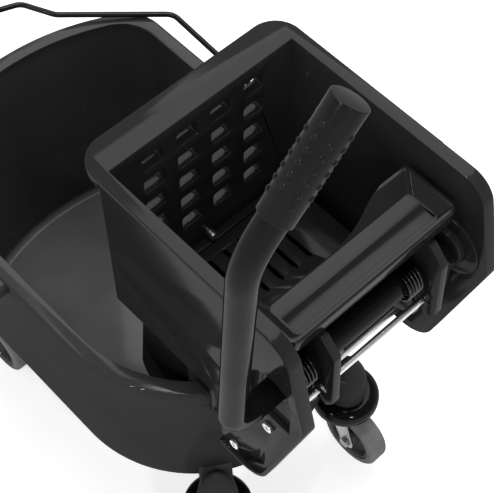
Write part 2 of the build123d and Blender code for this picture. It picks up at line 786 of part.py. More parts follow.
def make_arm(side):
    outline = [(shaft_x + dx, shaft_z + dz) for dx, dz in arm_points]
    arm = rib(make_face(FilletPolyline(*outline, radius=arm_radii, close=True)), side * arm_y, arm_t)
    low = side * arm_y - arm_t
    high = side * arm_y + arm_t
    arm -= bar_y(tube_r + bond_gap, shaft_x, shaft_z, low, high)
    arm -= bar_y(rod_d / 2 + bond_gap, rod_x, rod_z, low, high)
    return arm - make_pin(side, bond_gap)


def make_rod():
    rod = bar_y(rod_d / 2, rod_x, rod_z, rod_end_gap - bearing_flange_y, arm_y + arm_t / 2 + rod_tail)
    return fillet(rod.edges().filter_by(GeomType.CIRCLE), rod_edge_r)


def make_clips():
    clips = []
    for side in (-1, 1):
        start = side * (arm_y + arm_t / 2)
        clip = bar_y(clip_r, rod_x, rod_z, start, start + side * clip_t)
        clips.append(clip - bar_y(rod_d / 2 + bond_gap, rod_x, rod_z, start, start + side * clip_t))
    return Compound(children=clips)


def biarc(p0, t0, p1, t1):
    # two tangent arcs between two points with given directions
    v = p1 - p0
    t = t0 + t1
    spread = 2 * (1 - t0.dot(t1))
    reach = (math.sqrt(v.dot(t) ** 2 + spread * v.dot(v)) - v.dot(t)) / spread
    joint = (p0 + t0 * reach + p1 - t1 * reach) * 0.5
    first = Edge.make_tangent_arc(p0, t0, joint)
    return [first, Edge.make_tangent_arc(joint, first % 1, p1)]


def spring_low_y(side):
    return side * arm_y - arm_t / 2 - spring_arm_gap - spring_len


def make_spring_sleeve(side):
    # plain outer shape of the spring's curls
    low = spring_low_y(side)
    sleeve = bar_y(spring_r + spring_wire_d / 2, shaft_x, shaft_z, low, low + spring_len)
    return sleeve - bar_y(tube_r + seat_gap, shaft_x, shaft_z, low, low + spring_len)


def make_spring(side):
    # torsion spring round the shaft: a free tail, the curls, and a leg that lies against the rod
    start_y = spring_low_y(side) + spring_wire_d / 2
    climb = spring_pitch / (2 * math.pi)

    def curl(turned):
        angle = math.radians(spring_start + turned)
        x = shaft_x + spring_r * math.cos(angle)
        y = start_y + climb * math.radians(turned)
        z = shaft_z + spring_r * math.sin(angle)
        way = Vector(-spring_r * math.sin(angle), climb, spring_r * math.cos(angle))
        return Vector(x, y, z), way.normalized()

    steps = math.ceil(spring_sweep / 90)
    edges = []
    for step in range(steps):
        edges += biarc(*curl(spring_sweep * step / steps), *curl(spring_sweep * (step + 1) / steps))
    report_gap(edges, steps)
    first, first_way = curl(0)
    last, last_way = curl(spring_sweep)
    tail_end = first - first_way * spring_tail
    leg = math.sqrt(rod_dx ** 2 + rod_dz ** 2 - spring_touch ** 2) + spring_leg_past
    path = Wire([Edge.make_line(tail_end, first)] + edges + [Edge.make_line(last, last + last_way * leg)])
    return sweep(Plane(tail_end, z_dir=first_way) * Circle(spring_wire_d / 2), path)


def report_gap(edges, steps):
    # least gap of the wire to itself, on points that lie more than half a turn apart
    per_edge = 4
    points = [edge @ (step / per_edge) for edge in edges for step in range(per_edge)]
    half_turn = int(len(points) / steps * 2)
    least = min((a - b).length for i, a in enumerate(points) for b in points[i + half_turn:])
    print("return spring least self gap", round(least - spring_wire_d, 2), "mm")


def make_plate():
    low = hopper_floor + seat_gap
    tray_top = wringer_top - tray_drop
    tray_floor = tray_top - tray_depth
    tray_low = tray_floor - tray_floor_t
    plate_half = inner_half - plate_gap
    middle = Pos(plate_x + plate_t / 2, 0, (low + tray_low) / 2)
    plate = middle * Box(plate_t, 2 * plate_half, tray_low - low)
    plate += make_tray(tray_floor, tray_top)
    back_x = plate_x + plate_t
    gusset = Polyline(
        (back_x - plate_t / 2, low),
        (back_x + gusset_low, low),
        (back_x + gusset_low, tray_low - gusset_high),
        (back_x + gusset_high, tray_low),
        (back_x - plate_t / 2, tray_low),
        close=True,
    )
    nose_x = shaft_x + push_nose[0]
    push = Polyline(
        (back_x - plate_t / 2, shaft_z + push_root),
        (nose_x, shaft_z + push_nose_low),
        (nose_x, shaft_z + push_nose[1]),
        (shaft_x + push_shoulder[0], shaft_z + push_shoulder[1]),
        (back_x - plate_t / 2, shaft_z + push_shoulder[1]),
        close=True,
    )
    side_y = plate_half - gusset_t / 2
    for y in (-side_y, 0, side_y):
        plate += rib(make_face(gusset), y, gusset_t)
    for y in (-arm_y, arm_y):
        plate += rib(make_face(push), y, arm_t)
    return plate


def make_tray(floor_z, top_z):
    # shallow tray along the plate's top, with a slanting side towards the hopper
    half = inner_half - tray_gap
    start_x = plate_x - tray_lead
    low_z = floor_z - tray_floor_t
    middle = start_x + tray_x_len / 2
    outline = Pos(middle, 0) * Rectangle(tray_x_len, 2 * half)
    outline = fillet(outline.vertices().group_by(Axis.X)[-1], tray_back_r)
    outline = fillet(outline.vertices().group_by(Axis.X)[0], tray_front_r)
    tray = Pos(0, 0, low_z) * extrude(outline, top_z - low_z)
    tray = fillet(tray.edges().group_by(Axis.Z)[-1], tray_rim_r)
    bevel_end = (start_x + tray_under_x, low_z)
    bevel = Polyline((start_x, low_z), bevel_end, (start_x, low_z + tray_under_z), close=True)
    tray -= extrude(Plane.XZ * make_face(bevel), half, both=True)
    mouth_len = tray_x_len - 2 * tray_rim_t
    mouth_half = half - tray_rim_t
    mouth = Pos(middle, 0, top_z) * RectangleRounded(mouth_len, 2 * mouth_half, tray_inner_r)
    base_len = mouth_len - tray_slope - tray_draft
    base_x = middle + (tray_slope - tray_draft) / 2
    base_half = mouth_half - tray_end_draft
    base = Pos(base_x, 0, floor_z) * RectangleRounded(base_len, 2 * base_half, tray_inner_r)
    tray -= loft([base, mouth], ruled=True)
    tray -= Pos(0, 0, low_z - cut_over) * extrude(scoop_face(start_x), top_z - low_z + 2 * cut_over)
    trough_x = base_x + base_len / 2 - tray_step_w / 2 - tray_draft
    trough = Polyline(
        (trough_x - tray_step_w / 2 - tray_step_run, floor_z),
        (trough_x - tray_step_w / 2, floor_z - tray_step),
        (trough_x + tray_step_w / 2, floor_z - tray_step),
        (trough_x + tray_step_w / 2, floor_z + tray_step),
        (trough_x - tray_step_w / 2 - tray_step_run, floor_z + tray_step),
        close=True,
    )
    return tray - extrude(Plane.XZ * make_face(trough), base_half - tray_step, both=True)


def scoop_face(start_x):
    # plan of what is cut from the tray's edge: short at the near end, a long S at the far end
    high_x = start_x - cut_over
    middle = ((plate_x + high_x) / 2, (scoop_high_y + scoop_far_y) / 2)
    lower = TangentArc((plate_x, scoop_high_y), middle, tangent=(0, 1))
    upper = TangentArc(middle, (high_x, scoop_far_y), tangent=lower % 1)
    near = [(high_x, scoop_far_y), (high_x, scoop_near_y), (plate_x, scoop_low_y), (plate_x, scoop_high_y)]
    return make_face([lower, upper, Polyline(*near)])


def bucket_nodes():
    return {
        "bucket_shell": make_bucket(),
        "bail_ear_near": make_ear(-1),
        "bail_ear_far": make_ear(1),
        "ear_rivets": make_rivets(),
        "bail_wire": make_bail(),
    }


def caster_nodes():
    caster = {
        "bumper": make_bumper(),
        "caster_stem": make_stem(),
        "caster_fork": make_fork(),
        "axle_bolt": make_axle(),
        "wheel_core": make_wheel_core(),
        "tyre": make_tyre(),
    }
    nodes = {}
    for place, (x, y) in caster_places().items():
        for name, solid in caster.items():
            nodes[name + "_" + place] = Pos(x, y, 0) * solid
    return nodes


def wringer_nodes():
    bearing = make_bearing()
    nodes = {
        "wringer_housing": make_housing(),
        "drain_chute": make_chute(),
        "shaft_bearing_near": bearing,
        "shaft_bearing_far": far_twin(bearing),
        "wringer_screws": make_screws(),
        "tie_rod": make_tie_rod(),
        "stop_pin": make_stop_pin(),
        "press_plate": make_plate(),
        "lever_tube": make_lever(),
        "lever_grip": make_grip(),
        "shaft_cap": make_cap(),
        "crank_arm_near": make_arm(-1),
        "crank_arm_far": make_arm(1),
        "arm_pins": Compound(children=[make_pin(-1, 0), make_pin(1, 0)]),
        "cross_rod": make_rod(),
        "rod_clips": make_clips(),
        "return_spring_near": make_spring_sleeve(-1),
        "return_spring_far": make_spring(1),
    }
    seat = Pos(end_x + rim_half, 0, rim_z)
    return {name: seat * solid for name, solid in nodes.items()}


os.makedirs("parts", exist_ok=True)
for node_name, node_solid in {**bucket_nodes(), **caster_nodes(), **wringer_nodes()}.items():
    export_step(node_solid, "parts/" + node_name + ".step")
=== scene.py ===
import json
import math

import bmesh
import bpy
from mathutils import Matrix, Vector

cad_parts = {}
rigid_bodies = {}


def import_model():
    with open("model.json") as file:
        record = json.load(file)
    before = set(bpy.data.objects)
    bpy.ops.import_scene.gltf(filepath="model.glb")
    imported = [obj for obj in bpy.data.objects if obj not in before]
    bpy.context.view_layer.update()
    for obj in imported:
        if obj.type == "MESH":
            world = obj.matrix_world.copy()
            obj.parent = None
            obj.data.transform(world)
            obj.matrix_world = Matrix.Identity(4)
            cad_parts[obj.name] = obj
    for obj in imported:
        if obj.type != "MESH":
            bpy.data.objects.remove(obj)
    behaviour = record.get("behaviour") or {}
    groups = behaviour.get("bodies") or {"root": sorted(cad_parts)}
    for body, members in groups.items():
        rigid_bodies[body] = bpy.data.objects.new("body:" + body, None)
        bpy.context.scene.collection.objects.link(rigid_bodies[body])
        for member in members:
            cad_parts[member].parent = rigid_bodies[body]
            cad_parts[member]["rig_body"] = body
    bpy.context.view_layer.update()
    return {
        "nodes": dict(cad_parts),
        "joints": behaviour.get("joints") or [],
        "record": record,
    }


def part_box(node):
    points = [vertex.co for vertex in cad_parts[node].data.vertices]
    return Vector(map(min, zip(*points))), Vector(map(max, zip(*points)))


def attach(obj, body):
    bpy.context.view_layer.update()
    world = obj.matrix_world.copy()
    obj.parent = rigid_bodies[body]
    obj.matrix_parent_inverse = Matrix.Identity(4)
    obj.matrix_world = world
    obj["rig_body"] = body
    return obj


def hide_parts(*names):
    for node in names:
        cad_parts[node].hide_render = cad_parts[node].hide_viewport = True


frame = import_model()
nodeSlots = {entry["node"]: entry["material_slot"] for entry in frame["record"]["subparts"]}
shaftPlace = [Vector(joint["pos_m"]) for joint in frame["joints"] if joint["name"] == "lever_pull"][0]
casterPlaces = ["rear_near", "rear_far", "front_near", "front_far"]
print("frame loaded with", len(frame["nodes"]), "nodes")


def workOn(piece):
    # only this piece selected and active
    if bpy.context.mode != "OBJECT":
        bpy.ops.object.mode_set(mode="OBJECT")
    bpy.ops.object.select_all(action="DESELECT")
    piece.select_set(True)
    bpy.context.view_layer.objects.active = piece


def enterEdit(piece):
    # edit mode, with every point selected
    workOn(piece)
    bpy.ops.object.mode_set(mode="EDIT")
    bpy.ops.mesh.select_mode(type="VERT")
    bpy.ops.mesh.select_all(action="SELECT")


def leaveEdit():
    bpy.ops.object.mode_set(mode="OBJECT")


def pickVerts(piece, test):
    # in edit mode, selects the points that pass the test
    bpy.ops.mesh.select_all(action="DESELECT")
    shape = bmesh.from_edit_mesh(piece.data)
    for vert in shape.verts:
        vert.select_set(test(vert.co))
    shape.select_flush_mode()
    bmesh.update_edit_mesh(piece.data)


def newPiece(name):
    # the primitive just added, under its own name
    piece = bpy.context.view_layer.objects.active
    piece.name = name
    return piece


def settle(piece, angle=40):
    # place goes into the mesh, then the shading
    workOn(piece)
    bpy.ops.object.transform_apply(location=True, rotation=True, scale=True)
    bpy.ops.object.shade_smooth_by_angle(angle=math.radians(angle))


def applyModifier(piece, kind, **values):
    workOn(piece)
    modifier = piece.modifiers.new(kind.title(), kind)
    for key, value in values.items():
        setattr(modifier, key, value)
    bpy.ops.object.modifier_apply(modifier=modifier.name)


def copyPiece(piece, name, offset):
    # a copy with its own mesh, moved
    twin = bpy.data.objects.new(name, piece.data.copy())
    twin.data.transform(Matrix.Translation(offset))
    bpy.context.scene.collection.objects.link(twin)
    return twin


def standFor(piece, *nodes):
    # rides, finish and slot as the solid has them
    body = frame["nodes"][nodes[0]]["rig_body"]
    slot = nodeSlots[nodes[0]]
    piece.data.materials.clear()
    piece.data.materials.append(finishes[slot])
    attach(piece, body)
    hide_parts(*nodes)


# Rounding of a solid's sharp edges, in metres and degrees; roomy is a face's least width in edge widths
rounding = {"angle": 32, "roomy": 2.6, "segments": 2, "weld": 0.00002, "flat": 0.05, "thin": 0.000001,
            "widest": 1.0}


def faceWidth(face, edge):
    # width of the face, measured square to the edge from its middle
    corner = [loop.vert for loop in face.loops if loop.edge == edge][0].co
    middle = (edge.verts[0].co + edge.verts[1].co) / 2
    along = (middle - corner).normalized()
    inward = face.normal.cross(along)
    widths = [rounding["widest"]]
    for other in face.edges:
        first, second = [vert.co - middle for vert in other.verts]
        before, after = first.dot(along), second.dot(along)
        if other != edge and before * after <= 0 and before != after:
            share = before / (before - after)
            widths.append(first.lerp(second, share).dot(inward))
    return min(width for width in widths if width > rounding["thin"])


def roundedCopy(node, width):
    # the solid's own shape, with its outward sharp edges rounded where both faces leave room
    piece = bpy.data.objects.new(node + "_rounded", frame["nodes"][node].data.copy())
    bpy.context.scene.collection.objects.link(piece)
    enterEdit(piece)
    bpy.ops.mesh.remove_doubles(threshold=rounding["weld"])
    bpy.ops.mesh.dissolve_degenerate(threshold=rounding["weld"])
    bpy.ops.mesh.customdata_custom_splitnormals_clear()
    if width:
        bpy.ops.mesh.dissolve_limited(angle_limit=math.radians(rounding["flat"]))
        bpy.ops.mesh.select_mode(type="EDGE")
        bpy.ops.mesh.select_all(action="DESELECT")
        shape = bmesh.from_edit_mesh(piece.data)
        least = math.radians(rounding["angle"])
        sharp = [edge for edge in shape.edges if edge.is_convex and edge.calc_face_angle(0) > least]
        for edge in sharp:
            room = min(faceWidth(face, edge) for face in edge.link_faces)
            edge.select_set(room > rounding["roomy"] * width)
        bmesh.update_edit_mesh(piece.data)
        bpy.ops.mesh.bevel(offset=width, segments=rounding["segments"], affect="EDGES", clamp_overlap=False,
                           miter_outer="SHARP")
    leaveEdit()
    settle(piece, rounding["angle"])
    return piece


# Turning of round pieces; near is how close a point has to be to count as the one to round
turning = {"steps": 96, "roundSteps": 4, "startSize": 0.001, "near": 0.00002, "weld": 0.00001}


def spinProfile(name, points, axis, centre, rounds, steps=turning["steps"]):
    # points are (distance from the axis, place along it); rounds are (point, radius)
    along = Vector(axis)
    out = Vector((1, 0, 0)) if along.z else Vector((0, 0, 1))
    bpy.ops.object.select_all(action="DESELECT")
    bpy.ops.mesh.primitive_plane_add(size=turning["startSize"])
    piece = newPiece(name)
    enterEdit(piece)
    bpy.ops.mesh.merge(type="CENTER")
    spots = [out * distance + along * place for distance, place in points]
    bpy.ops.transform.translate(value=spots[0])
    for before, after in zip(spots, spots[1:]):
        bpy.ops.mesh.extrude_region_move(TRANSFORM_OT_translate={"value": after - before})
    for index, radius in rounds:
        spot = spots[index]
        pickVerts(piece, lambda co: (co - spot).length < turning["near"])
        bpy.ops.mesh.bevel(offset=radius, segments=turning["roundSteps"], affect="VERTICES")
    bpy.ops.mesh.select_all(action="SELECT")
    bpy.ops.mesh.spin(steps=steps, angle=math.tau, center=(0, 0, 0), axis=along)
    bpy.ops.mesh.select_all(action="SELECT")
    bpy.ops.mesh.remove_doubles(threshold=turning["weld"])
    bpy.ops.mesh.normals_make_consistent(inside=False)
    leaveEdit()
    piece.location = centre
    settle(piece)
    return piece


# Effects that several finishes share
def makeGroup(name, inputs, outputs):
    group = bpy.data.node_groups.new(name, "ShaderNodeTree")
    for label, kind, value in inputs:
        socket = group.interface.new_socket(name=label, in_out="INPUT", socket_type=kind)
        if value is not None:
            socket.default_value = value
    for label in outputs:
        group.interface.new_socket(name=label, in_out="OUTPUT", socket_type="NodeSocketFloat")
    return group, group.nodes.new("NodeGroupInput"), group.nodes.new("NodeGroupOutput")


def addNode(tree, kind, **values):
    # each value goes to the node's own setting of that name, or else to its input
    node = tree.nodes.new(kind)
    for key, value in values.items():
        if hasattr(node, key):
            setattr(node, key, value)
        else:
            node.inputs[key.replace("_", " ")].default_value = value
    return node


def feed(tree, socket, value):
    # value is a socket to link or a number to set
    if hasattr(value, "links"):
        tree.links.new(value, socket)
    else:
        socket.default_value = value


def addNoise(tree, place, scale, detail, rough=0.55):
    noise = addNode(tree, "ShaderNodeTexNoise", Detail=detail, Roughness=rough)
    tree.links.new(place, noise.inputs["Vector"])
    feed(tree, noise.inputs["Scale"], scale)
    return noise.outputs["Fac"]


def addRange(tree, value, low, high, toLow=0.0, toHigh=1.0):
    node = addNode(tree, "ShaderNodeMapRange", interpolation_type="SMOOTHSTEP")
    tree.links.new(value, node.inputs["Value"])
    for label, number in (("From Min", low), ("From Max", high), ("To Min", toLow), ("To Max", toHigh)):
        node.inputs[label].default_value = number
    return node.outputs["Result"]


def addMath(tree, operation, first, second):
    node = addNode(tree, "ShaderNodeMath", operation=operation)
    feed(tree, node.inputs[0], first)
    feed(tree, node.inputs[1], second)
    return node.outputs["Value"]


def addStretch(tree, place, scale):
    mapping = addNode(tree, "ShaderNodeMapping")
    feed(tree, mapping.inputs["Scale"], scale)
    tree.links.new(place, mapping.inputs["Vector"])
    return mapping.outputs["Vector"]


# Scuffs are hairlines in two directions, cut from stretched noise, that show in worn patches only
scuffs = {"along": (900, 60, 60), "alongCut": (0.64, 0.70), "across": (70, 70, 1000),
          "acrossCut": (0.66, 0.72), "patchScale": 26.0, "patchCut": (0.52, 0.72)}


def makeMouldGrain():
    # fine grain of a moulded surface, slow clouding, and hairline scuffs
    inputs = [("Place", "NodeSocketVector", None), ("Grain Scale", "NodeSocketFloat", 900.0),
              ("Cloud Scale", "NodeSocketFloat", 9.0)]
    group, start, end = makeGroup("mouldGrain", inputs, ["Grain", "Cloud", "Scuff"])
    place = start.outputs["Place"]
    grain = addNoise(group, place, start.outputs["Grain Scale"], detail=3)
    cloud = addNoise(group, place, start.outputs["Cloud Scale"], detail=5)
    hairs = addNoise(group, addStretch(group, place, scuffs["along"]), scale=1.0, detail=2)
    cross = addNoise(group, addStretch(group, place, scuffs["across"]), scale=1.0, detail=2)
    worn = addRange(group, addNoise(group, place, scuffs["patchScale"], detail=3), *scuffs["patchCut"])
    hairLines = addRange(group, hairs, *scuffs["alongCut"])
    crossLines = addRange(group, cross, *scuffs["acrossCut"])
    scuff = addMath(group, "MULTIPLY", addMath(group, "MAXIMUM", hairLines, crossLines), worn)
    for value, label in ((grain, "Grain"), (cloud, "Cloud"), (scuff, "Scuff")):
        group.links.new(value, end.inputs[label])
    return group


dusting = {"facing": (0.35, 0.95), "speck": (0.42, 0.78), "detail": 6, "rough": 0.7}


def makeDustFall():
    # thin dust on what faces up, and a mask of what faces up
    inputs = [("Place", "NodeSocketVector", None), ("Dust Scale", "NodeSocketFloat", 40.0)]
    group, start, end = makeGroup("dustFall", inputs, ["Dust", "Level"])
    geometry = group.nodes.new("ShaderNodeNewGeometry")
    split = group.nodes.new("ShaderNodeSeparateXYZ")
    group.links.new(geometry.outputs["Normal"], split.inputs["Vector"])
    facing = addRange(group, split.outputs["Z"], *dusting["facing"])
    specks = addNoise(group, start.outputs["Place"], start.outputs["Dust Scale"], dusting["detail"],
                      dusting["rough"])
    dust = addMath(group, "MULTIPLY", facing, addRange(group, specks, *dusting["speck"]))
    group.links.new(dust, end.inputs["Dust"])
    group.links.new(facing, end.inputs["Level"])
    return group


def makePlating():
    # drawn or rolled metal: long streaks and faint blotches
    inputs = [("Place", "NodeSocketVector", None), ("Stretch", "NodeSocketVector", (1.0, 1.0, 1.0)),
              ("Blotch Scale", "NodeSocketFloat", 60.0)]
    group, start, end = makeGroup("plating", inputs, ["Streak", "Blotch"])
    place = start.outputs["Place"]
    streak = addNoise(group, addStretch(group, place, start.outputs["Stretch"]), scale=1.0, detail=3)
    blotch = addNoise(group, place, start.outputs["Blotch Scale"], detail=4)
    group.links.new(streak, end.inputs["Streak"])
    group.links.new(blotch, end.inputs["Blotch"])
    return group


mouldGrain = makeMouldGrain()
dustFall = makeDustFall()
plating = makePlating()


def startFinish(name):
    material = bpy.data.materials.new(name)
    material.use_nodes = True
    tree = material.node_tree
    coordinate = tree.nodes.new("ShaderNodeTexCoord")
    return material, tree, tree.nodes["Principled BSDF"], coordinate.outputs["Object"]


def placeGroup(tree, group, place, **values):
    node = addNode(tree, "ShaderNodeGroup", node_tree=group)
    tree.links.new(place, node.inputs["Place"])
    for key, value in values.items():
        node.inputs[key.replace("_", " ")].default_value = value
    return node.outputs


def mixColour(tree, factor, first, second):
    # first and second are colours or colour sockets
    node = addNode(tree, "ShaderNodeMix", data_type="RGBA")
    tree.links.new(factor, node.inputs["Factor"])
    for label, value in (("A", first), ("B", second)):
        socket = [entry for entry in node.inputs if entry.name == label and entry.type == "RGBA"][0]
        feed(tree, socket, value if hasattr(value, "links") else (*value, 1.0))
    return [entry for entry in node.outputs if entry.type == "RGBA"][0]


def addBump(tree, shader, height, strength, distance):
    bump = addNode(tree, "ShaderNodeBump", Strength=strength, Distance=distance)
    tree.links.new(height, bump.inputs["Height"])
    tree.links.new(bump.outputs["Normal"], shader.inputs["Normal"])


# What all moulded finishes share: where the clouding is cut, and how it thins the skin and the lighter low
# patches
moulding = {"cloudCut": (0.3, 0.7), "skinFade": (1.0, 0.8), "lowPatchEdge": 0.02, "lowPatchCut": (0.2, 0.8),
            "lowPatchFade": (0.5, 1.0)}


def mouldedFinish(name, look):
    material, tree, shader, place = startFinish(name)
    grain = placeGroup(tree, mouldGrain, place, Grain_Scale=look["grainScale"],
                       Cloud_Scale=look["cloudScale"])
    fall = placeGroup(tree, dustFall, place, Dust_Scale=look["dustScale"])
    dust = addMath(tree, "MULTIPLY", fall["Dust"], look["dust"])
    scuff = addMath(tree, "MULTIPLY", grain["Scuff"], look["scuff"])
    cloud = addRange(tree, grain["Cloud"], *moulding["cloudCut"])
    colour = mixColour(tree, cloud, look["dark"], look["light"])
    colour = mixColour(tree, scuff, colour, look["scuffTone"])
    colour = mixColour(tree, dust, colour, look["dustTone"])
    if "lowPatchTone" in look:
        # a lighter colour, in patches, on what faces up below a set height
        split = tree.nodes.new("ShaderNodeSeparateXYZ")
        tree.links.new(place, split.inputs["Vector"])
        lowPatchTop = look["lowPatchHeight"] + moulding["lowPatchEdge"]
        lowPatch = addRange(tree, split.outputs["Z"], look["lowPatchHeight"], lowPatchTop, 1.0, 0.0)
        lowPatch = addMath(tree, "MULTIPLY", lowPatch, fall["Level"])
        patchy = addRange(tree, grain["Cloud"], *moulding["lowPatchCut"], *moulding["lowPatchFade"])
        colour = mixColour(tree, addMath(tree, "MULTIPLY", lowPatch, patchy), colour, look["lowPatchTone"])
    tree.links.new(colour, shader.inputs["Base Color"])
    rough = addRange(tree, grain["Cloud"], *moulding["cloudCut"], look["smooth"], look["rough"])
    tree.links.new(addMath(tree, "ADD", rough, dust), shader.inputs["Roughness"])
    shader.inputs["Specular IOR Level"].default_value = 0.0  # the skin on top has all the shine
    skin = addRange(tree, fall["Level"], 0.0, 1.0, look["skin"], look["topSkin"])
    fade = addRange(tree, grain["Cloud"], *moulding["cloudCut"], *moulding["skinFade"])
    tree.links.new(addMath(tree, "MULTIPLY", skin, fade), shader.inputs["Coat Weight"])
    shader.inputs["Coat Roughness"].default_value = look["skinRough"]
    addBump(tree, shader, grain["Grain"], look["bump"], look["bumpDepth"])
    return material


platingCuts = {"blotch": (0.35, 0.65), "streak": (0.3, 0.7)}


def platedFinish(name, look):
    material, tree, shader, place = startFinish(name)
    metal = placeGroup(tree, plating, place, Stretch=look["stretch"], Blotch_Scale=look["blotchScale"])
    fall = placeGroup(tree, dustFall, place, Dust_Scale=look["dustScale"])
    dust = addMath(tree, "MULTIPLY", fall["Dust"], look["dust"])
    blotch = addRange(tree, metal["Blotch"], *platingCuts["blotch"])
    colour = mixColour(tree, blotch, look["dark"], look["light"])
    colour = mixColour(tree, dust, colour, look["dustTone"])
    tree.links.new(colour, shader.inputs["Base Color"])
    rough = addRange(tree, metal["Streak"], *platingCuts["streak"], look["smooth"], look["rough"])
    tree.links.new(rough, shader.inputs["Roughness"])
    shader.inputs["Metallic"].default_value = 1.0
    addBump(tree, shader, metal["Streak"], look["bump"], look["bumpDepth"])
    return material


# skin is the clear shine on walls, topSkin on what faces up
mouldedLooks = {
    "bucket_plastic": {
        "dark": (0.037, 0.037, 0.0374), "light": (0.047, 0.047, 0.0474), "cloudScale": 7,
        "smooth": 0.20, "rough": 0.28, "grainScale": 1100, "bump": 0.10, "bumpDepth": 0.0003,
        "scuff": 0.25, "scuffTone": (0.12, 0.12, 0.12),
        "dust": 0.06, "dustTone": (0.14, 0.14, 0.14), "dustScale": 45,
        "skin": 0.04, "topSkin": 0.38, "skinRough": 0.12, "lowPatchHeight": 0.16, "lowPatchTone": (0.12, 0.12, 0.12)},
    "wringer_plastic": {
        "dark": (0.019, 0.019, 0.0192), "light": (0.025, 0.025, 0.0253), "cloudScale": 9,
        "smooth": 0.20, "rough": 0.28, "grainScale": 1200, "bump": 0.10, "bumpDepth": 0.0003,
        "scuff": 0.25, "scuffTone": (0.08, 0.08, 0.08),
        "dust": 0.04, "dustTone": (0.11, 0.11, 0.11), "dustScale": 45,
        "skin": 0.24, "topSkin": 0.30, "skinRough": 0.12},
    "press_plastic": {
        "dark": (0.010, 0.010, 0.0103), "light": (0.015, 0.015, 0.0154), "cloudScale": 12,
        "smooth": 0.22, "rough": 0.30, "grainScale": 1200, "bump": 0.10, "bumpDepth": 0.0003,
        "scuff": 0.25, "scuffTone": (0.07, 0.07, 0.07),
        "dust": 0.04, "dustTone": (0.09, 0.09, 0.09), "dustScale": 50,
        "skin": 0.4, "topSkin": 0.45, "skinRough": 0.16},
    "bail_steel": {
        "dark": (0.0060, 0.0060, 0.0060), "light": (0.0095, 0.0095, 0.0095), "cloudScale": 25,
        "smooth": 0.22, "rough": 0.32, "grainScale": 500, "bump": 0.06, "bumpDepth": 0.0002,
        "scuff": 0.3, "scuffTone": (0.05, 0.05, 0.05),
        "dust": 0.03, "dustTone": (0.08, 0.08, 0.08), "dustScale": 60,
        "skin": 0.4, "topSkin": 0.4, "skinRough": 0.12},
    "lever_paint": {
        "dark": (0.006, 0.006, 0.0062), "light": (0.009, 0.009, 0.0092), "cloudScale": 14,
        "smooth": 0.14, "rough": 0.22, "grainScale": 160, "bump": 0.03, "bumpDepth": 0.0003,
        "scuff": 0.25, "scuffTone": (0.06, 0.06, 0.06),
        "dust": 0.03, "dustTone": (0.10, 0.10, 0.10), "dustScale": 70,
        "skin": 0.30, "topSkin": 0.30, "skinRough": 0.05},
    "grip_rubber": {
        "dark": (0.008, 0.008, 0.008), "light": (0.012, 0.012, 0.012), "cloudScale": 30,
        "smooth": 0.28, "rough": 0.38, "grainScale": 1500, "bump": 0.14, "bumpDepth": 0.0003,
        "scuff": 0.2, "scuffTone": (0.03, 0.03, 0.03),
        "dust": 0.05, "dustTone": (0.05, 0.05, 0.05), "dustScale": 80,
        "skin": 0.3, "topSkin": 0.3, "skinRough": 0.12},
    "bumper_rubber": {
        "dark": (0.0040, 0.0040, 0.0040), "light": (0.0065, 0.0065, 0.0065), "cloudScale": 22,
        "smooth": 0.14, "rough": 0.22, "grainScale": 900, "bump": 0.08, "bumpDepth": 0.0003,
        "scuff": 0.3, "scuffTone": (0.04, 0.04, 0.04),
        "dust": 0.04, "dustTone": (0.06, 0.06, 0.06), "dustScale": 60,
        "skin": 0.3, "topSkin": 0.3, "skinRough": 0.1},
    "wheel_plastic": {
        "dark": (0.075, 0.075, 0.077), "light": (0.110, 0.110, 0.113), "cloudScale": 20,
        "smooth": 0.42, "rough": 0.54, "grainScale": 900, "bump": 0.10, "bumpDepth": 0.0003,
        "scuff": 0.3, "scuffTone": (0.2, 0.2, 0.2),
        "dust": 0.08, "dustTone": (0.2, 0.2, 0.2), "dustScale": 60,
        "skin": 0.2, "topSkin": 0.2, "skinRough": 0.3},
    "tyre_rubber": {
        "dark": (0.18, 0.18, 0.184), "light": (0.26, 0.26, 0.264), "cloudScale": 24,
        "smooth": 0.55, "rough": 0.68, "grainScale": 800, "bump": 0.14, "bumpDepth": 0.0003,
        "scuff": 0.40, "scuffTone": (0.08, 0.08, 0.08),
        "dust": 0.08, "dustTone": (0.2, 0.2, 0.2), "dustScale": 60,
        "skin": 0.05, "topSkin": 0.05, "skinRough": 0.4},
}
platedLooks = {
    "zinc_steel": {
        "dark": (0.42, 0.42, 0.41), "light": (0.56, 0.56, 0.56), "blotchScale": 90,
        "smooth": 0.26, "rough": 0.40, "stretch": (300, 300, 300), "bump": 0.05, "bumpDepth": 0.0002,
        "dust": 0.08, "dustTone": (0.2, 0.2, 0.2), "dustScale": 60},
    "bright_steel": {
        "dark": (0.74, 0.74, 0.75), "light": (0.86, 0.86, 0.87), "blotchScale": 70,
        "smooth": 0.30, "rough": 0.40, "stretch": (700, 20, 700), "bump": 0.03, "bumpDepth": 0.0001,
        "dust": 0.05, "dustTone": (0.4, 0.4, 0.4), "dustScale": 60},
    "spring_steel": {
        "dark": (0.03, 0.03, 0.031), "light": (0.06, 0.06, 0.062), "blotchScale": 120,
        "smooth": 0.22, "rough": 0.34, "stretch": (400, 400, 400), "bump": 0.04, "bumpDepth": 0.0001,
        "dust": 0.05, "dustTone": (0.1, 0.1, 0.1), "dustScale": 60},
    "caster_steel": {
        "dark": (0.30, 0.30, 0.296), "light": (0.44, 0.44, 0.436), "blotchScale": 70,
        "smooth": 0.26, "rough": 0.42, "stretch": (240, 240, 240), "bump": 0.05, "bumpDepth": 0.0002,
        "dust": 0.10, "dustTone": (0.3, 0.3, 0.3), "dustScale": 50},
}
finishes = {}
for slotName, slotLook in mouldedLooks.items():
    finishes[slotName] = mouldedFinish(slotName, slotLook)
for slotName, slotLook in platedLooks.items():
    finishes[slotName] = platedFinish(slotName, slotLook)
print("finishes made:", len(finishes))


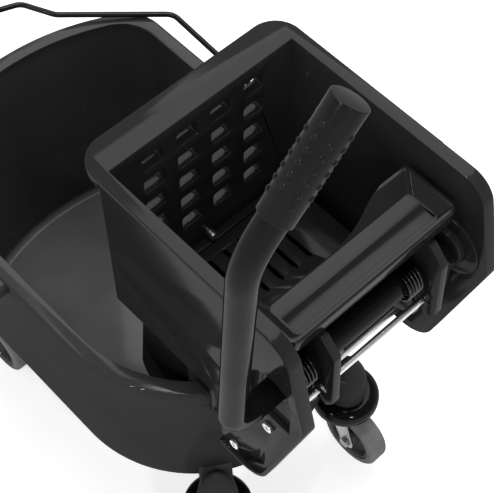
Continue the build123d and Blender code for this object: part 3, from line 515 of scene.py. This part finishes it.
# Moulded, pressed and drawn pieces keep their solid's shape, with rounded edges where a width is given
edgeWidths = {
    "bucket_shell": 0.0008, "bail_ear_near": 0.0010, "bail_ear_far": 0.0010, "ear_rivets": 0.0008,
    "bail_wire": 0, "wringer_housing": 0.0008, "drain_chute": 0.0006, "press_plate": 0.0007,
    "shaft_bearing_near": 0.0005, "shaft_bearing_far": 0.0005, "crank_arm_near": 0.0007,
    "crank_arm_far": 0.0007, "arm_pins": 0.0004, "cross_rod": 0, "rod_clips": 0.0003, "lever_tube": 0.0003,
    "shaft_cap": 0.0010, "wringer_screws": 0.0004, "tie_rod": 0.0005, "stop_pin": 0.0003,
}
for nodeName, edgeWidth in edgeWidths.items():
    standFor(roundedCopy(nodeName, edgeWidth), nodeName)
print("rounded pieces made:", len(edgeWidths))


# Casters: each piece is made once and copied to the other three places
casterEdges = {"caster_stem": 0.0005, "caster_fork": 0.0006, "axle_bolt": 0.0006, "wheel_core": 0.0009}
bumper = {"bore": 0.0056, "sole": 0.004, "bead": 0.0022, "rounds": (0.002, 0.002, 0.002, 0.001, 0.004)}


def makeBumper(node):
    low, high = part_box(node)
    radius = (high.x - low.x) / 2
    half = (high.z - low.z) / 2
    bore, sole = bumper["bore"], bumper["sole"]
    points = [(bore, -half), (radius - sole, -half), (radius, -half + sole), (radius, half - sole * 2),
              (radius - bumper["bead"], half - sole), (radius - sole * 2, half), (bore, half), (bore, -half)]
    rounds = list(enumerate(bumper["rounds"], 1))
    return spinProfile(node + "_turned", points, (0, 0, 1), (low + high) / 2, rounds)


tyre = {"wall": 0.0089, "shoulder": 0.0030, "round": 0.0014}


def makeTyre(node):
    low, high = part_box(node)
    radius = (high.z - low.z) / 2
    half = (high.y - low.y) / 2
    inner = radius - tyre["wall"]
    step = tyre["shoulder"]
    points = [(inner, -half), (radius - step, -half), (radius, -half + step), (radius, half - step),
              (radius - step, half), (inner, half), (inner, -half)]
    rounds = [(index, tyre["round"]) for index in range(1, 5)]  # the four shoulder points
    return spinProfile(node + "_turned", points, (0, 1, 0), (low + high) / 2, rounds)


def copyToCasters(kind, first):
    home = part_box(kind + "_" + casterPlaces[0])[0]
    for place in casterPlaces[1:]:
        node = kind + "_" + place
        twin = copyPiece(first, first.name.replace(casterPlaces[0], place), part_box(node)[0] - home)
        standFor(twin, node)
    standFor(first, kind + "_" + casterPlaces[0])


for kind, edgeWidth in casterEdges.items():
    copyToCasters(kind, roundedCopy(kind + "_" + casterPlaces[0], edgeWidth))
copyToCasters("bumper", makeBumper("bumper_" + casterPlaces[0]))
copyToCasters("tyre", makeTyre("tyre_" + casterPlaces[0]))
print("casters made:", len(casterPlaces))


# Lever grip: a sleeve with a flat end and columns of domed nubs, every other column one ring lower
grip = {"radius": 0.01325, "bore": 0.01105, "length": 0.0857, "start": 0.038, "endThick": 0.004,
        "footRound": 0.0012, "endRound": 0.0010, "sides": 64, "rise": 52.0, "lean": 0.058,
        "leverOut": -0.146, "leverHeight": 0.247, "rows": 6, "columns": 8, "pitch": 0.0088,
        "nubStart": 0.0175, "nubRadius": 0.0027, "nubSink": 0.0013, "nubRoot": 0.0003,
        "nubSegments": 16, "nubRings": 10}


def makeGrip():
    rise = math.radians(grip["rise"])
    way = Vector((grip["lean"] * math.sin(rise), math.cos(rise), math.sin(rise))).normalized()
    height = grip["leverHeight"]
    corner = shaftPlace + Vector((grip["lean"] * height, grip["leverOut"], height))
    length, radius, bore = grip["length"], grip["radius"], grip["bore"]
    points = [(bore, 0), (radius, 0), (radius, length), (0, length), (0, length - grip["endThick"]),
              (bore, length - grip["endThick"]), (bore, 0)]
    rounds = [(1, grip["footRound"]), (2, grip["endRound"])]
    sleeve = spinProfile("lever_grip_sleeve", points, (0, 0, 1), (0, 0, 0), rounds, grip["sides"])
    bpy.ops.object.select_all(action="DESELECT")
    bpy.ops.mesh.primitive_uv_sphere_add(segments=grip["nubSegments"], ring_count=grip["nubRings"],
                                         radius=grip["nubRadius"])
    nub = newPiece("nub")
    enterEdit(nub)
    bpy.ops.transform.translate(value=(radius - grip["nubSink"], 0, 0))
    bpy.ops.mesh.bisect(plane_co=(radius - grip["nubRoot"], 0, 0), plane_no=(1, 0, 0), clear_inner=True,
                        use_fill=True)
    leaveEdit()
    settle(nub)
    parts = [sleeve]
    for column in range(grip["columns"]):
        turn = Matrix.Rotation(column * math.tau / grip["columns"], 4, "Z")
        for row in range(grip["rows"]):
            twin = copyPiece(nub, "nub", (0, 0, 0))
            spot = length - grip["nubStart"] - (row + column % 2) * grip["pitch"]
            twin.data.transform(Matrix.Translation((0, 0, spot)) @ turn)
            parts.append(twin)
    bpy.data.objects.remove(nub)
    workOn(sleeve)
    for part in parts:
        part.select_set(True)
    bpy.ops.object.join()
    turned = Vector((0, 0, 1)).rotation_difference(way).to_matrix().to_4x4()
    sleeve.data.transform(Matrix.Translation(corner + way * grip["start"]) @ turned)
    settle(sleeve)
    return sleeve


standFor(makeGrip(), "lever_grip")
print("grip made")


# Return springs: curls of round wire with a free tail and a leg on the rod
spring = {"wire": 0.0026, "radius": 0.0146, "pitch": 0.0034, "turns": 5, "tail": 0.028, "rodX": 0.0145,
          "rodZ": -0.026, "rodWidth": 0.006, "touch": 0.0003, "legPast": 0.006, "steps": 40, "sides": 14,
          "weld": 0.000005, "endReach": 0.52}


def makeSpring(name):
    # wound about Y; starts with its tail on the -X side, and its first curl is at y = 0
    radius, wire = spring["radius"], spring["wire"]
    rodReach = math.hypot(spring["rodX"], spring["rodZ"])
    touch = radius + (wire + spring["rodWidth"]) / 2 + spring["touch"]
    rest = math.atan2(spring["rodZ"], spring["rodX"]) - math.acos(touch / rodReach)
    sweep = spring["turns"] * math.tau + (rest - math.pi) % math.tau
    climb = spring["pitch"] * sweep / math.tau
    slope = spring["pitch"] / math.tau
    leg = math.sqrt(rodReach ** 2 - touch ** 2) + spring["legPast"]
    bpy.ops.object.select_all(action="DESELECT")
    bpy.ops.mesh.primitive_circle_add(vertices=spring["sides"], radius=wire / 2, location=(-radius, 0, 0))
    piece = newPiece(name)
    settle(piece)
    steps = round(spring["steps"] * sweep / math.tau)
    applyModifier(piece, "SCREW", axis="Y", angle=-sweep, screw_offset=climb, steps=steps,
                  render_steps=steps, use_smooth_shade=True)
    for turned, reach in ((0, -spring["tail"]), (sweep, leg)):
        angle = math.pi + turned
        middle = Vector((radius * math.cos(angle), climb * turned / sweep, radius * math.sin(angle)))
        way = Vector((-radius * math.sin(angle), slope, radius * math.cos(angle))).normalized()
        enterEdit(piece)
        bpy.ops.mesh.remove_doubles(threshold=spring["weld"])
        pickVerts(piece, lambda co: (co - middle).length < wire * spring["endReach"])
        bpy.ops.mesh.extrude_region_move(TRANSFORM_OT_translate={"value": way * reach})
        bpy.ops.mesh.edge_face_add()
        bpy.ops.mesh.select_all(action="SELECT")
        bpy.ops.mesh.normals_make_consistent(inside=False)
        leaveEdit()
    settle(piece)
    return piece


nearSpring = makeSpring("return_spring_near_wound")
farSpring = copyPiece(nearSpring, "return_spring_far_wound", (0, 0, 0))
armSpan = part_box("crank_arm_far")[0].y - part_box("crank_arm_near")[0].y
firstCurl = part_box("return_spring_near")[0].y + spring["wire"] / 2
for piece, shift, node in ((nearSpring, 0, "return_spring_near"), (farSpring, armSpan, "return_spring_far")):
    piece.data.transform(Matrix.Translation((shaftPlace.x, firstCurl + shift, shaftPlace.z)))
    standFor(piece, node)
print("springs wound")


# Floor, light and camera
studio = {"floorSize": 6.0, "floorDrop": 0.0005, "floorTone": 0.86, "floorRough": 0.9, "floorGlow": 0.62,
          "worldTone": 0.2, "horizonBand": (0.0, 0.7), "aim": (0.05, 0.0, 0.35),
          "keyPower": 26.0, "keySize": 1.6, "keyPlace": (-0.70, 0.90, 2.30),
          "topPower": 14.0, "topSize": 0.6, "topPlace": (0.0, 0.05, 2.60),
          "sidePower": 5.0, "sideSize": 0.15, "sidePlace": (0.2, -1.5, 1.8),
          "fillPower": 8.0, "fillSize": 0.2, "fillPlace": (1.7, -0.5, 2.0)}
camera = {"eye": (0.585, -0.432, 1.430), "target": (0.195, -0.067, 0.592), "lens": 98.2, "sensor": 36.0,
          "reach": 50.0}
white = (1.0, 1.0, 1.0, 1.0)


def seenDirectly(tree):
    # one for camera, glossy and transmission rays
    rays = tree.nodes.new("ShaderNodeLightPath")
    seen = addMath(tree, "MAXIMUM", rays.outputs["Is Camera Ray"], rays.outputs["Is Glossy Ray"])
    return addMath(tree, "MAXIMUM", seen, rays.outputs["Is Transmission Ray"])


def makeFloor():
    bpy.ops.object.select_all(action="DESELECT")
    bpy.ops.mesh.primitive_plane_add(size=studio["floorSize"], location=(0, 0, -studio["floorDrop"]))
    floor = newPiece("studio_floor")
    material = bpy.data.materials.new("floor_paper")
    material.use_nodes = True
    tree = material.node_tree
    shader = tree.nodes["Principled BSDF"]
    shader.inputs["Base Color"].default_value = (studio["floorTone"],) * 3 + (1.0,)
    shader.inputs["Roughness"].default_value = studio["floorRough"]
    shader.inputs["Specular IOR Level"].default_value = 0.0
    shader.inputs["Emission Color"].default_value = white
    glow = addMath(tree, "MULTIPLY", seenDirectly(tree), studio["floorGlow"])
    tree.links.new(glow, shader.inputs["Emission Strength"])
    floor.data.materials.append(material)


def makeWorld():
    # white round the horizon, dimmer overhead
    world = bpy.data.worlds.new("studio")
    world.use_nodes = True
    tree = world.node_tree
    coordinate = tree.nodes.new("ShaderNodeTexCoord")
    split = tree.nodes.new("ShaderNodeSeparateXYZ")
    tree.links.new(coordinate.outputs["Generated"], split.inputs["Vector"])
    tone = addRange(tree, split.outputs["Z"], *studio["horizonBand"], 1.0, studio["worldTone"])
    tree.links.new(tone, tree.nodes["Background"].inputs["Strength"])
    tree.nodes["Background"].inputs["Color"].default_value = white
    bpy.context.scene.world = world


def makeLamp(name):
    lamp = bpy.data.lights.new(name + "_lamp", "AREA")
    lamp.energy = studio[name + "Power"]
    lamp.size = studio[name + "Size"]
    holder = bpy.data.objects.new(name + "_lamp", lamp)
    holder.location = studio[name + "Place"]
    holder.rotation_euler = (Vector(studio["aim"]) - holder.location).to_track_quat("-Z", "Y").to_euler()
    bpy.context.scene.collection.objects.link(holder)


def makeCamera():
    lens = bpy.data.cameras.new("photo_camera")
    lens.lens = camera["lens"]
    lens.sensor_width = camera["sensor"]
    lens.clip_end = camera["reach"]
    holder = bpy.data.objects.new("photo_camera", lens)
    holder.location = camera["eye"]
    way = Vector(camera["target"]) - holder.location
    holder.rotation_euler = way.to_track_quat("-Z", "Y").to_euler()
    bpy.context.scene.collection.objects.link(holder)
    bpy.context.scene.camera = holder


makeFloor()
makeWorld()
for lampName in ("key", "top", "side", "fill"):
    makeLamp(lampName)
makeCamera()
bpy.context.scene.view_settings.view_transform = "Standard"
print("studio set")
